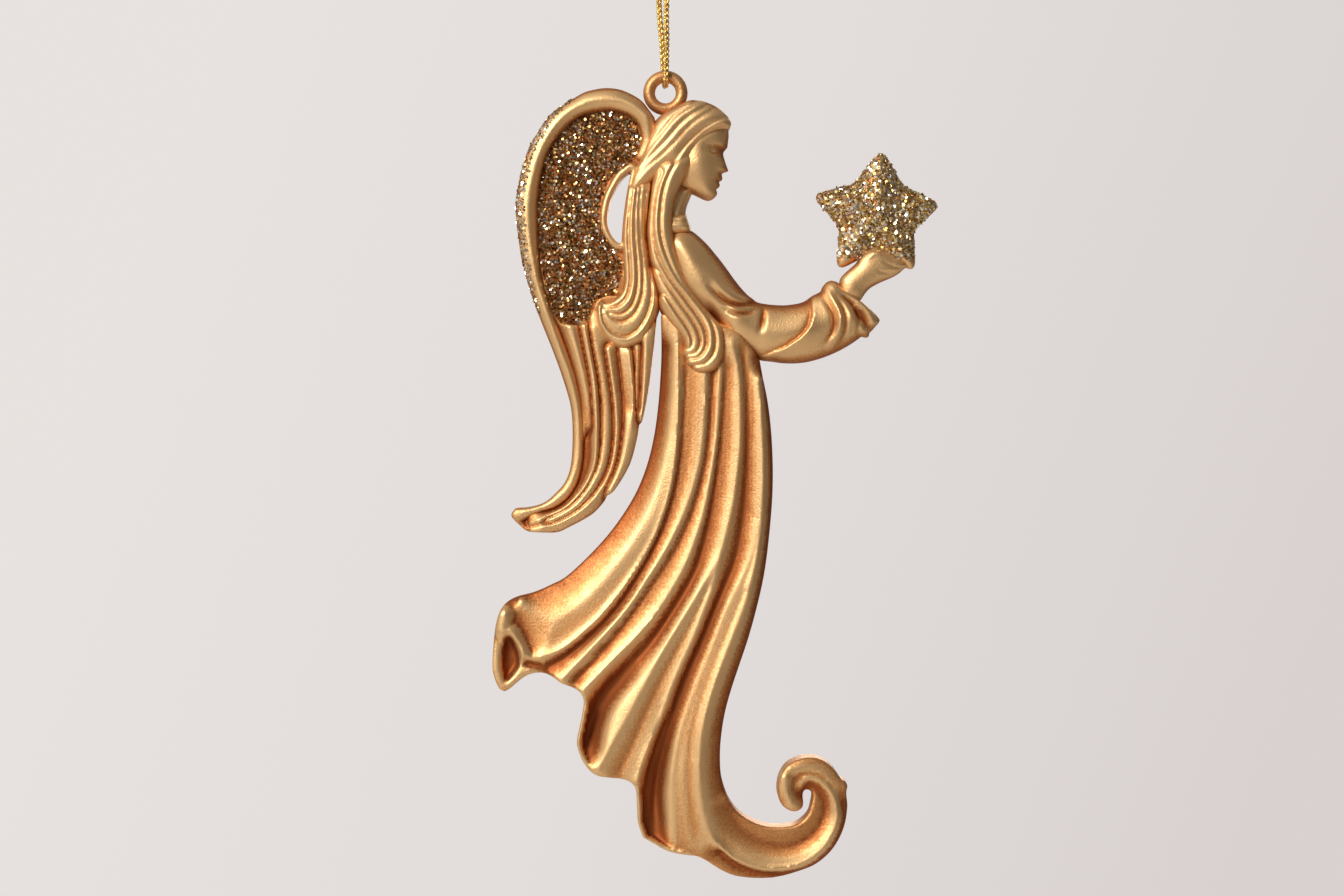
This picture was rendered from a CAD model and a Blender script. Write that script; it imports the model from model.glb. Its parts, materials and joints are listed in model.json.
"""Looks of the hanging angel ornament: sculpted relief pieces, glitter flakes, braided cord and studio."""
import json
import math

import bpy
import numpy as np
import openvdb
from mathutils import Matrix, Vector

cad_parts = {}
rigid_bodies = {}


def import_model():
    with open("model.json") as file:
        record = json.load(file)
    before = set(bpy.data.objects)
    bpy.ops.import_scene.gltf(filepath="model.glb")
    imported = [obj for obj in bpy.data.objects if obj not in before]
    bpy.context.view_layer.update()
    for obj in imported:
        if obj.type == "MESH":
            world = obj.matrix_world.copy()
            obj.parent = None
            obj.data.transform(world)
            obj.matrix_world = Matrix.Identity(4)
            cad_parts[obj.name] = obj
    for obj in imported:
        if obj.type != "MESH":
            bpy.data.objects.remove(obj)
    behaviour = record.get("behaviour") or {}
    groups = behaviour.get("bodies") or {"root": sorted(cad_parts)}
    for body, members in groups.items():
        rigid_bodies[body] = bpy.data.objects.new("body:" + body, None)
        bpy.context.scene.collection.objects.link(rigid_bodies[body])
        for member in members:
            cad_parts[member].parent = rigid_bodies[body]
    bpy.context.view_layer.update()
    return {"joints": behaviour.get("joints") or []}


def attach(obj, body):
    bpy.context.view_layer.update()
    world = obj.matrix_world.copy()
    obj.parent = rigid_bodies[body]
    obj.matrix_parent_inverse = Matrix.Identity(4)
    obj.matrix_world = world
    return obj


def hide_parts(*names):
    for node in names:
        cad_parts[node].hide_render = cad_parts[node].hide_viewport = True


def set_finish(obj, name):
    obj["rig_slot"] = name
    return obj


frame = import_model()

# Units and places. Relief points are (x, z) in millimetres from the centre of the hanging eye.
MM = 0.001
EYE_Z = frame["joints"][0]["pos_m"][2] / MM
COARSE = 1.0
FIGURE, HANGER = "figurine", "hanger"


# ---------------------------------------------------------------- curves and distances
def curve(points, pieces=6):
    """A smooth line through the points, as an array."""
    points = np.array(points, float)
    if len(points) < 3:
        return points
    first, last = 2 * points[0] - points[1], 2 * points[-1] - points[-2]
    padded = np.vstack([first, points, last])
    steps = np.linspace(0, 1, pieces, endpoint=False)[:, None]
    parts = []
    for a, b, c, d in zip(padded, padded[1:], padded[2:], padded[3:]):
        bend = 2 * a - 5 * b + 4 * c - d
        twist = 3 * b - a - 3 * c + d
        parts.append(0.5 * (2 * b + (c - a) * steps + bend * steps**2 + twist * steps**3))
    return np.vstack(parts + [points[-1:]])


def outline(*stretches):
    """A closed line of smooth stretches that meet at corners; each starts at the last one's end."""
    here = stretches[-1][-1]
    parts = []
    for points in stretches:
        parts.append(curve([here, *points])[:-1])
        here = points[-1]
    return np.vstack(parts)


def nearest(x, z, line):
    """Distance from each place to a line, and how far along it the nearest point is, 0 to 1."""
    best = np.full(x.shape, 1e9)
    along = np.zeros(x.shape)
    starts, ends = line[:-1], line[1:]
    lengths = np.maximum(np.hypot(*(ends - starts).T), 1e-6)
    before = np.cumsum(lengths) - lengths
    for p, q, length, run in zip(starts, ends, lengths, before):
        step_x, step_z = q - p
        u = np.clip(((x - p[0]) * step_x + (z - p[1]) * step_z) / length**2, 0, 1)
        gap = np.hypot(x - p[0] - u * step_x, z - p[1] - u * step_z)
        closer = gap < best
        best[closer] = gap[closer]
        along[closer] = ((run + u * length) / lengths.sum())[closer]
    return best, along


def side_of(x, z, line):
    """1 on the right of a line that runs downwards, -1 on its left."""
    best = np.full(x.shape, 1e9)
    side = np.zeros(x.shape)
    for p, q in zip(line, line[1:]):
        step_x, step_z = q - p
        u = ((x - p[0]) * step_x + (z - p[1]) * step_z) / (step_x**2 + step_z**2)
        u = np.clip(u, 0, 1)
        gap = np.hypot(x - p[0] - u * step_x, z - p[1] - u * step_z)
        closer = gap < best - 1e-9
        best[closer] = gap[closer]
        cross = step_x * (z - p[1]) - step_z * (x - p[0])
        side[closer] = np.sign(cross)[closer]
    return side


def within(x, z, loop):
    """Signed distance to a closed line, positive inside it."""
    ring = np.vstack([loop, loop[:1]])
    gap = nearest(x, z, ring)[0]
    odd = np.zeros(x.shape, bool)
    for (x0, z0), (x1, z1) in zip(ring, ring[1:]):
        if z0 == z1:
            continue
        crosses = (z0 > z) != (z1 > z)
        odd ^= crosses & (x < (x1 - x0) * (z - z0) / (z1 - z0) + x0)
    return np.where(odd, gap, -gap)


def unit(vectors):
    """The same directions with length 1."""
    return vectors / np.linalg.norm(vectors, axis=1)[:, None]


def arch(along, flat=0.02):
    """A swell along a line: 1 at its middle, near 0 at its ends."""
    return np.sin(math.pi * np.clip(along, flat, 1 - flat))


def ease(value):
    """Smooth step from 0 to 1."""
    value = np.clip(value, 0, 1)
    return value * value * (3 - 2 * value)


def blur(field, cells):
    """Gaussian blur of a grid."""
    if cells < 0.3:
        return field
    reach = int(math.ceil(2.5 * cells))
    weights = np.exp(-0.5 * (np.arange(-reach, reach + 1) / cells) ** 2)
    weights /= weights.sum()
    for axis in (0, 1):
        widths = [(reach, reach) if a == axis else (0, 0) for a in (0, 1)]
        padded = np.pad(field, widths, mode="edge")
        size = field.shape[axis]
        field = sum(w * np.take(padded, range(i, i + size), axis) for i, w in enumerate(weights))
    return field


class Grid:
    """Places in the relief's plane that cover an outline."""

    def __init__(self, loop, step, margin=1.2):
        self.step = step * COARSE
        self.low = loop.min(0) - margin
        high = loop.max(0) + margin
        xs = np.arange(self.low[0], high[0], self.step)
        zs = np.arange(self.low[1], high[1], self.step)
        self.x, self.z = np.meshgrid(xs, zs, indexing="ij")

    def near(self, points):
        return nearest(self.x, self.z, curve(points))

    def inside(self, loop):
        return within(self.x, self.z, loop)

    def soft(self, field, reach):
        return blur(field, reach / self.step)


def grid_over(loop, step):
    """A grid over an outline, and how deep inside the outline each place is."""
    grid = Grid(loop, step)
    return grid, grid.inside(loop)


# ---------------------------------------------------------------- relief to mesh
def put(name, data):
    """A new object in the scene."""
    made = bpy.data.objects.new(name, data)
    bpy.context.collection.objects.link(made)
    return made


def new_mesh(name, points, faces, body, slot, nodes=(), smooth=True):
    """A mesh piece from points in millimetres in the row's frame."""
    mesh = bpy.data.meshes.new(name)
    mesh.from_pydata((np.asarray(points) * MM).tolist(), [], [list(f) for f in faces])
    mesh.validate()
    piece = put(name, mesh)
    mesh.polygons.foreach_set("use_smooth", [smooth] * len(mesh.polygons))
    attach(piece, body)
    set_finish(piece, slot)
    if nodes:
        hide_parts(*nodes)
    return piece


def paint_attribute(mesh, name, values):
    layer = mesh.attributes.new(name, "FLOAT", "POINT")
    layer.data.foreach_set("value", np.asarray(values, np.float32))


def both_sides(grid, inside, height, edge):
    """Level set of a relief that is the same on both sides, with its outer edges rounded."""
    step = grid.step
    levels = int(math.ceil((height.max() + 1.0) / step))
    y = np.arange(-levels, levels + 1) * step
    slope = np.sqrt(1 + sum(g**2 for g in np.gradient(height, step)))
    face = (np.abs(y)[None, :, None] - height[:, None, :]) / slope[:, None, :] + edge
    side = np.broadcast_to(-inside[:, None, :] + edge, face.shape)
    outer = np.hypot(np.maximum(face, 0), np.maximum(side, 0))
    return outer + np.minimum(np.maximum(face, side), 0) - edge, y


def relief(name, grid, inside, height, edge, nodes=None):
    """One sculpted piece: its mesh follows the height on both faces and the outline at its sides."""
    field, y = both_sides(grid, inside, height, edge)
    band = 3 * grid.step
    volume = openvdb.FloatGrid(background=band)
    volume.copyFromArray(np.clip(field, -band, band).astype(np.float32))
    points, _, quads = volume.convertToPolygons(isovalue=0.0, adaptivity=0.0)
    places = points * grid.step
    places[:, 0] += grid.low[0]
    places[:, 1] += y[0]
    places[:, 2] += grid.low[1] + EYE_Z
    piece = new_mesh(name, places, quads[:, ::-1], FIGURE, "figure", nodes or [name])
    shade_from_relief(piece, grid, height, points)
    return piece


# How far each blur reaches in millimetres, and its share in the shading of creases.
CREASE_BLURS = ((2.6, 0.45), (1.1, 0.7), (0.45, 0.5))


def shade_from_relief(piece, grid, height, cells):
    """Store how deep in a crease, or how high on a crest, each point is."""
    hollow = sum(share * (grid.soft(height, reach) - height) for reach, share in CREASE_BLURS)
    hollow = 0.5 * np.tanh(2 * hollow)
    i = np.clip(cells[:, 0].round().astype(int), 0, height.shape[0] - 1)
    k = np.clip(cells[:, 2].round().astype(int), 0, height.shape[1] - 1)
    paint_attribute(piece.data, "hollow", hollow[i, k])


# ---------------------------------------------------------------- relief shapes
def dome(inside, reach, low, high):
    """Height that rises from the outline in a round shoulder."""
    part = np.clip(inside / reach, 0, 1)
    return low + (high - low) * np.sqrt(np.clip(1 - (1 - part) ** 2, 0, 1))


def strands(grid, crests, wide, uneven=0.3):
    """Locks between creases: 1 along each crest, 0 in the creases, and some locks wider and higher."""
    share = [1 + uneven * math.sin(2.4 * k + 0.7) for k in range(len(crests))]
    gaps = np.stack([grid.near(points)[0] / part for points, part in zip(crests, share)])
    order = np.argsort(gaps, axis=0)
    gaps = np.take_along_axis(gaps, order, axis=0)
    part = np.clip(2 * gaps[0] / (gaps[0] + np.minimum(gaps[1], 2 * wide) + 1e-6), 0, 1)
    lift = 1 + 0.9 * uneven * np.sin(1.7 * order[0] + 0.4)
    return np.sqrt(np.clip(1 - part**2, 0, 1)) * lift


def folds(grid, crests, grooves, power=3):
    """Cloth between crest and groove lines; each line is (points, half depth at its two ends)."""
    def gather(lines):
        closest = np.full(grid.x.shape, 1e9)
        weight = np.zeros(grid.x.shape)
        total = np.zeros(grid.x.shape)
        for points, start, end in lines:
            gap, along = grid.near(points)
            share = 1 / (gap + 0.15) ** power
            weight += share
            total += share * (start + (end - start) * along)
            closest = np.minimum(closest, gap)
        return closest, total / weight
    to_crest, high = gather(crests)
    to_groove, low = gather(grooves)
    part = to_groove / (to_groove + to_crest + 1e-6)
    return low + (high - low) * (0.3 * np.sin(part * math.pi / 2) + 0.7 * part**1.4)


def press(grid, height, points, amount, wide):
    """A soft ridge or groove along a line, fading at its ends."""
    gap, along = grid.near(points)
    return height + amount * arch(along) * ease(1 - gap / wide)


def overlap(grid, height, points, step, reach):
    """The edge of a drape that lies over the cloth on its left."""
    gap, along = grid.near(points)
    side = side_of(grid.x, grid.z, curve(points))
    fade = arch(along, flat=0.06) ** 0.5
    above = step * np.exp(-gap / reach)
    below = -0.7 * step * np.exp(-gap / 0.6)
    return height + fade * np.where(side > 0, above, below)


# ---------------------------------------------------------------- wing
WING_LOOP = outline(
    [
        (-2.8, -3.3), (-3.8, -2), (-5, -1), (-7.5, 0.2), (-10, 0.6), (-12.5, 0.3), (-15, -0.6), (-20, -4),
        (-22.5, -7.5), (-23.9, -10), (-25.4, -15), (-26.1, -20), (-25.7, -25), (-24.9, -30), (-23.5, -35),
        (-21.7, -40), (-19.7, -45), (-17.9, -50), (-16.5, -55), (-16.2, -60), (-16.5, -65), (-17.5, -68),
        (-19.2, -70), (-21, -71.5), (-23.3, -72.3), (-26.2, -72.6),
    ],
    [(-26.9, -73.9), (-25.5, -75.5), (-24, -76.6), (-22, -76.8)],
    [(-19, -76.8), (-17, -76), (-13, -73.8), (-11, -71.8), (-10.2, -70.4)],
    [(-9.6, -70.1), (-8.8, -69.3), (-7.2, -66.8), (-6, -64.3), (-5, -60.5), (-4.6, -58)],
    [(-4, -57), (-3, -52), (-2.1, -45), (-1.6, -40), (-1.2, -37)], [(-2.5, -20)],
    [(-1.5, -8), (-1.9, -4.5)],
)
RIM_INSIDE = outline(
    [
        (-21.6, -32), (-22.1, -24), (-21.9, -17), (-20, -10), (-15.5, -4.9), (-10.5, -3.5), (-7, -4.1),
        (-5.2, -5.4), (-4.4, -7.2), (-4.3, -9), (-5.3, -11.7),
    ],
    [(-0.5, -14)], [(2, -60)], [(-9, -80)], [(-24, -78)], [(-25.2, -75)],
    [
        (-23, -73.8), (-18.5, -72.1), (-15.8, -69.2), (-14.5, -65), (-14.2, -60), (-14.4, -55),
        (-15.4, -50), (-17, -45), (-19, -40), (-20.2, -37),
    ],
)
WINDOW = outline(
    [(-6.6, -17), (-7, -19.5), (-7.3, -22), (-7.6, -25), (-7.6, -26.5)],
    [
        (-8.3, -26.3), (-9.3, -25.2), (-10, -23.5), (-10.1, -21.5), (-9.6, -19), (-8.7, -17), (-7.5, -15),
        (-5.9, -13.7),
    ],
)
RIM_CREST = [
    (-3.2, -4.6), (-6, -2.6), (-9.5, -1.7), (-13.5, -2.2), (-18, -4.9), (-21.6, -10.5), (-23.6, -18),
    (-23.7, -24), (-22.6, -31), (-20.9, -37), (-18.2, -45), (-16.4, -50), (-15.3, -55), (-14.9, -60),
    (-15.2, -65), (-16.9, -69.2), (-20, -71.8), (-24.5, -73.3),
]
FEATHER_CRESTS = [
    [(-3.3, -43), (-3.6, -50), (-4.1, -56.5)],
    [(-6.3, -45.5), (-5.8, -50), (-5.6, -55), (-6.3, -60), (-7.5, -65), (-9.5, -69.5)],
    [
        (-9.9, -45), (-9.2, -50), (-8.6, -55), (-8.5, -60), (-9.2, -65), (-11, -69), (-14, -72.5),
        (-18, -75), (-21.5, -76),
    ],
    [
        (-12.3, -41.5), (-11.8, -45), (-10.8, -50), (-10.2, -55), (-10.2, -60), (-11, -65), (-13, -69),
        (-16, -72.3), (-20, -74.5),
    ],
    [
        (-14, -41), (-13.3, -45), (-12.4, -50), (-12, -55), (-12, -60), (-12.4, -65), (-14.2, -69),
        (-17.5, -72.5), (-22, -74.5),
    ],
    [(-16.6, -40.5), (-15.3, -46), (-14.2, -52), (-13.5, -58)], [(-4.8, -44.5), (-4.9, -50), (-5, -55)],
]
LEAVES = [
    [(-15.3, -19.7), (-15.8, -22.5)], [(-9, -10.5), (-9.5, -12.5)], [(-10.5, -28.5), (-10.8, -30.5)],
    [(-12, -8), (-12.8, -10)], [(-18.3, -13), (-18.8, -15.5)], [(-13.5, -33), (-13.2, -35.5)],
    [(-17.5, -30), (-17.3, -33)],
]
FEATHER_AREA = outline(
    [
        (-20.6, -37.6), (-19.4, -39.6), (-17.2, -40.6), (-14.8, -40.6), (-13.2, -39.4), (-12.2, -36.8),
        (-10.6, -35.6), (-7, -35),
    ],
    [(0, -35)], [(4, -60)], [(-9, -82)], [(-30, -80)], [(-24, -40)],
)
FEATHER_RECESS = [
    (-19.5, -39), (-16.6, -47), (-14.6, -54), (-13.6, -60), (-14, -66), (-17.5, -71.5), (-24, -74.6),
]
RIM_LOW, RIM_HIGH, PANEL_LEVEL, LIP_LEVEL = 2.6, 4.0, 1.9, 2.9
LEAF_HEIGHT, LEAF_REACH = 0.5, 0.9
FEATHER_LEVEL, FEATHER_RIDGE, RECESS_DEPTH, RECESS_REACH = 2.1, 1.25, 0.9, 1.9


def wing_rim():
    grid, shape = grid_over(WING_LOOP, step=0.24)
    opening = grid.inside(RIM_INSIDE)
    to_crest, along = grid.near(RIM_CREST)
    to_edge = np.minimum(np.maximum(shape, 0), np.maximum(-opening, 0))
    part = to_edge / (to_edge + to_crest + 0.05)
    high = RIM_HIGH - 1.0 * ease((along - 0.45) / 0.55)
    height = RIM_LOW - 0.6 * along + (high - RIM_LOW) * np.sin(part * math.pi / 2)
    shape = np.minimum(np.minimum(shape, -opening), -grid.inside(WINDOW))
    height = grid.soft(height, reach=0.2)
    relief("wing_rim", grid, shape, height, edge=RIM_ROUNDING)
    edge_glitter(grid, height)


def body_places(piece):
    """A piece's points in millimetres from the middle of the hanging eye."""
    places = np.empty(3 * len(piece.data.vertices))
    piece.data.vertices.foreach_get("co", places)
    return places.reshape(-1, 3) / MM - (0, 0, EYE_Z)


def darken(piece, under, level=0.5):
    """The paint under the flakes is the darker brown of a crease."""
    layer = piece.data.attributes["hollow"].data
    values = np.zeros(len(layer), np.float32)
    layer.foreach_get("value", values)
    values[under] = level
    layer.foreach_set("value", values)


def wing_panel():
    grid = Grid(RIM_INSIDE[RIM_INSIDE[:, 1] > -45], step=0.3)
    shape = np.minimum(grid.inside(WING_LOOP), grid.inside(RIM_INSIDE) + 0.3)
    window = grid.inside(WINDOW)
    height = np.full(grid.x.shape, PANEL_LEVEL)
    lip = ease(1.6 - np.abs(-window - 0.55) / 0.55)
    height += (LIP_LEVEL - PANEL_LEVEL) * lip
    for leaf in LEAVES:
        gap, along = grid.near(leaf)
        height += LEAF_HEIGHT * arch(along, flat=0.1) * ease(1 - gap / LEAF_REACH)
    wave = np.sin(grid.x * 1.1 + 2 * np.sin(grid.z * 0.5)) * np.sin(grid.z * 0.8)
    height += 0.12 * wave * (window < -1.5)
    shape = np.minimum(np.minimum(shape, -window), 0.4 - grid.inside(FEATHER_AREA))
    panel = relief("wing_panel", grid, shape, height, edge=0.25)
    places = body_places(panel)
    darken(panel, within(places[:, 0], places[:, 2], GLITTER_LOOP) > 0.1)
    wing_glitter(grid, height, shape)


def wing_feathers():
    grid = Grid(WING_LOOP[WING_LOOP[:, 1] < -36], step=0.22)
    shape = np.minimum(grid.inside(WING_LOOP), grid.inside(RIM_INSIDE) + 0.25)
    shape = np.minimum(shape, grid.inside(FEATHER_AREA))
    ridge = strands(grid, FEATHER_CRESTS, wide=1.4)
    recess = ease(1 - grid.near(FEATHER_RECESS)[0] / RECESS_REACH)
    height = FEATHER_LEVEL + FEATHER_RIDGE * ridge - RECESS_DEPTH * recess
    height += 0.35 * ease((grid.x + 10) / 8)
    relief("wing_feathers", grid, shape, grid.soft(height, reach=0.12), edge=0.4)


# ---------------------------------------------------------------- hair
STRAND_MEAN, TUCK_REACH = 0.7, 3.0
CROWN_LOOP = outline(
    [(10.6, -6.6), (9.5, -7), (7.5, -8.3), (6, -9.8), (5, -11.5), (4.2, -13.3), (3.4, -15.2)],
    [(1.2, -14.2), (-1.2, -15.2), (-3.3, -16.8), (-6.6, -18.4)],
    [
        (-6.1, -15), (-5.2, -13), (-4.5, -11.8), (-3.7, -9.7), (-2.8, -7.5), (-2.1, -5.6), (-1, -4.3),
        (0.6, -3.2), (2.4, -2.3), (4.3, -1.5), (5.5, -1.5), (7, -1.8), (8.5, -2.4), (10, -3.5), (11, -4.5),
        (11.5, -5.5), (11.3, -6.3),
    ],
)
CROWN_CRESTS = [
    [(3.8, -2.3), (1.5, -3.8), (0, -5.5), (-1.5, -7.5), (-2.8, -9.3), (-4.2, -12)],
    [(6, -2.5), (3.5, -3.8), (1.5, -5.6), (-0.5, -8), (-2.5, -10.3), (-4.6, -13.4)],
    [(7.5, -3.2), (5, -4.8), (3, -6.5), (1, -8.8), (-1, -10.8), (-3.5, -13), (-5.4, -15.6)],
    [(9, -4), (6, -6), (3.8, -8), (1.5, -10.5), (-1, -12.8), (-3.5, -14.6), (-5.8, -17.2)],
    [(10.4, -5.6), (8.3, -6.4), (6, -8), (4, -10), (2.5, -12.3), (1.4, -14.4)],
]
FRONT_LOOP = outline(
    [(-1.8, -13.6), (-2.6, -18), (-3.2, -24), (-2.9, -28), (-2.6, -30.5)],
    [
        (-1.8, -33.5), (-1.3, -35.5), (-1.25, -37.4), (-0.3, -39.2), (1.3, -41.3), (2.5, -42.7), (3, -44),
        (2.9, -45.2),
    ],
    [
        (3.1, -46.5), (4, -48), (5.5, -49), (7, -49.1), (8.6, -48.5), (9.8, -47), (10.3, -45), (10.3, -43),
        (9.8, -41), (8.3, -39.3), (6.5, -37.3), (5, -35.3), (3.8, -33), (2.8, -30.5), (1.9, -28),
        (1.4, -25), (1.3, -22), (1.6, -19.5), (2.3, -17.5), (3.3, -15.3), (4.2, -13.3), (5.1, -11.6),
        (5.6, -10.4),
    ],
    [(2.5, -9.6)], [(0, -11)],
)
FRONT_CRESTS = [
    [
        (4, -10.4), (2.6, -12.6), (1.2, -15), (0.3, -18), (-0.1, -21), (-0.2, -24), (0.3, -27), (1.2, -30),
        (3, -33.6), (5.6, -36.8), (8, -39.6), (9.4, -42.5), (9.2, -46), (7.5, -48), (5.4, -48.4),
    ],
    [
        (1, -13), (-0.5, -16), (-1.2, -19), (-1.5, -23), (-1.2, -26), (-0.2, -29), (1.6, -32.5),
        (4.5, -36.2), (7, -39.5), (7.9, -42), (7.8, -44.8), (6.4, -46.8), (4.4, -47.3),
    ],
    [
        (-0.9, -14.6), (-2, -17.5), (-2.5, -20.5), (-2.7, -24), (-2.2, -28), (-0.4, -32), (2.5, -36.2),
        (5.2, -40), (6.4, -42.6), (6.4, -44.6), (5.4, -46), (4, -46.2),
    ],
    [(-1.6, -32), (0.4, -35.2), (2.8, -38.6), (4.6, -41.4), (5.2, -43.4), (4.9, -44.8), (3.9, -45.4)],
    [(-0.3, -36), (1.3, -38.6), (3.1, -41.2), (4.1, -43.2), (4, -44.6)],
]
BACK_LOOP = outline(
    [
        (-6.1, -15), (-6.7, -17.5), (-7.2, -21), (-7.5, -24), (-7.5, -27), (-7.3, -30), (-7.2, -33),
        (-7.7, -35), (-9, -36.2), (-10.2, -36.8), (-11.2, -36.3),
    ],
    [
        (-11.9, -37), (-12.2, -38.5), (-12, -40.3), (-11, -42.3), (-9.5, -44), (-7.5, -44.9), (-5, -44.2),
        (-3.5, -43), (-2, -40.3), (-1.2, -38.5), (-1, -37), (-1.1, -35), (-1.7, -33), (-2.6, -30.5),
    ],
    [(-2.9, -28), (-3.3, -24), (-2.6, -18), (-1.9, -14)], [(-5, -13)],
)
BACK_CRESTS = [
    [
        (-6.2, -17), (-6.8, -22), (-7, -26), (-6.8, -30), (-6.7, -33), (-7.3, -35.6), (-8.8, -36.9),
        (-10, -37.2),
    ],
    [
        (-5.4, -17.2), (-5.9, -22), (-5.9, -26), (-5.6, -30), (-5.6, -33.5), (-6.4, -36.4), (-8, -38),
        (-9.9, -38),
    ],
    [
        (-4.6, -17), (-4.9, -21), (-4.8, -26), (-4.4, -30), (-4.4, -34.5), (-5.4, -37.8), (-7.4, -39.3),
        (-9.7, -39),
    ],
    [
        (-3.6, -16.2), (-4, -20), (-3.8, -26), (-3.3, -30), (-3.2, -35), (-4.5, -39), (-6.8, -41.1),
        (-9.2, -40.6), (-10.6, -38.3),
    ],
    [
        (-2.5, -15), (-3.1, -19), (-3.1, -25), (-2.4, -31), (-1.9, -35.5), (-2.5, -39), (-4.2, -42),
        (-6.6, -43.6), (-9.4, -42.8), (-11.1, -40.4), (-11.4, -37.6),
    ],
]


def tuck(grid, depth, below):
    """How far the top of a lock dips where it slips under the crown."""
    return depth * ease((grid.z - below) / TUCK_REACH)


def hair_crown():
    grid, shape = grid_over(CROWN_LOOP, step=0.17)
    height = grid.soft(dome(shape, reach=6.0, low=2.5, high=4.9), reach=0.5)
    height += 0.6 * (strands(grid, CROWN_CRESTS, wide=1.8) - STRAND_MEAN)
    relief("hair_crown", grid, shape, grid.soft(height, reach=0.22), edge=1.0)


def hair_front_lock():
    grid, shape = grid_over(FRONT_LOOP, step=0.18)
    height = grid.soft(dome(shape, reach=2.6, low=3.7, high=4.75), reach=0.25)
    height += 0.8 * (strands(grid, FRONT_CRESTS, wide=1.5) - STRAND_MEAN) + 0.3 * ease(-(grid.z + 30) / 16)
    height -= tuck(grid, depth=1.4, below=-13.4)
    relief("hair_front_lock", grid, shape, grid.soft(height, reach=0.17), edge=0.9)


def hair_back_lock():
    grid, shape = grid_over(BACK_LOOP, step=0.18)
    height = grid.soft(dome(shape, reach=2.8, low=3.1, high=4.2), reach=0.25)
    height += 0.75 * (strands(grid, BACK_CRESTS, wide=1.3) - STRAND_MEAN)
    height -= tuck(grid, depth=1.6, below=-17.5)
    relief("hair_back_lock", grid, shape, grid.soft(height, reach=0.16), edge=0.8)


# ---------------------------------------------------------------- head and neck
HEAD_TOP, HEAD_HEIGHT, HEAD_TILT = (4.6, -1.5), 16.8, math.radians(8.0)
PROFILE = [(0.36, 0.16), (0.425, 0.27), (0.435, 0.42)]
NOSE = [(0.40, 0.49), (0.43, 0.57), (0.478, 0.665)]
LIPS = [(0.418, 0.7), (0.428, 0.76), (0.398, 0.79), (0.412, 0.83), (0.38, 0.87)]
CHIN = [(0.392, 0.93), (0.31, 1.0), (0.14, 0.955), (0.0, 0.93)]
EYELID = [(0.25, 0.5), (0.3, 0.518), (0.355, 0.505)]
# Swellings of the face: lift, forward and down as parts of the head, width and height in millimetres.
FACE_SWELLS = [
    (-0.45, 0.31, 0.47, 1.6, 0.9), (0.3, 0.315, 0.485, 0.8, 0.45), (0.25, 0.2, 0.64, 2, 1.7),
    (0.25, 0.4, 0.655, 0.5, 0.45), (-0.2, 0.37, 0.79, 0.8, 0.2), (0.15, 0.31, 0.92, 1.1, 0.8),
]


def head_spot(forward, down):
    """A place on the head, given as parts of its height and turned by its tilt."""
    ahead, below = forward * HEAD_HEIGHT, down * HEAD_HEIGHT
    x = HEAD_TOP[0] + ahead * math.cos(HEAD_TILT) - below * math.sin(HEAD_TILT)
    return x, HEAD_TOP[1] - below * math.cos(HEAD_TILT) - ahead * math.sin(HEAD_TILT)


def bump(grid, forward, down, wide, tall):
    """A round swelling on the head, 1 at its middle."""
    x, z = head_spot(forward, down)
    cos, sin = math.cos(HEAD_TILT), math.sin(HEAD_TILT)
    ahead = (grid.x - x) * cos - (grid.z - z) * sin
    up = (grid.z - z) * cos + (grid.x - x) * sin
    return np.exp(-((ahead / wide) ** 2) - (up / tall) ** 2)


def head():
    groups = [[head_spot(*part) for part in group] for group in (PROFILE, NOSE, LIPS, CHIN)]
    loop = outline(*groups, [(0.0, -12.0)], [(3.0, -4.5)])
    grid, shape = grid_over(loop, step=0.15)
    height = grid.soft(dome(shape, reach=6.0, low=1.0, high=4.0), reach=0.7)
    for lift, *spot_and_size in FACE_SWELLS:
        height += lift * bump(grid, *spot_and_size)
    lid = [head_spot(*part) for part in EYELID]
    height = press(grid, grid.soft(height, reach=0.2), lid, amount=-0.22, wide=0.28)
    relief("head", grid, shape, height, edge=0.8)


NECK_LOOP = outline(
    [(3.7, -20), (3.6, -21.6), (4.1, -23), (4, -25.2)], [(-1, -25.2)], [(-1, -15)], [(5, -16.8)],
)
COLLAR_LOOP = outline(
    [(3.9, -22.2), (4.3, -23.2), (4.5, -24.6)], [(0, -25.2)], [(0, -21.2)], [(3.7, -21.4)],
)


def neck():
    grid, shape = grid_over(NECK_LOOP, step=0.18)
    height = dome(shape, reach=2.6, low=0.8, high=2.9)
    muscle = grid.near([(4.0, -17.5), (2.6, -20.5), (1.6, -23.0)])[0]
    height += 0.25 * ease(1 - muscle / 0.9)
    relief("neck", grid, shape, grid.soft(height, reach=0.15), edge=0.5)


def collar():
    grid, shape = grid_over(COLLAR_LOOP, step=0.16)
    band = [[(1.0, -21.9), (3.7, -22.0)], [(1.0, -23.6), (4.3, -23.8)]]
    height = dome(shape, reach=1.6, low=1.4, high=3.3) + 0.3 * strands(grid, band, wide=0.9)
    relief("collar", grid, shape, grid.soft(height, reach=0.12), edge=0.5)


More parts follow.
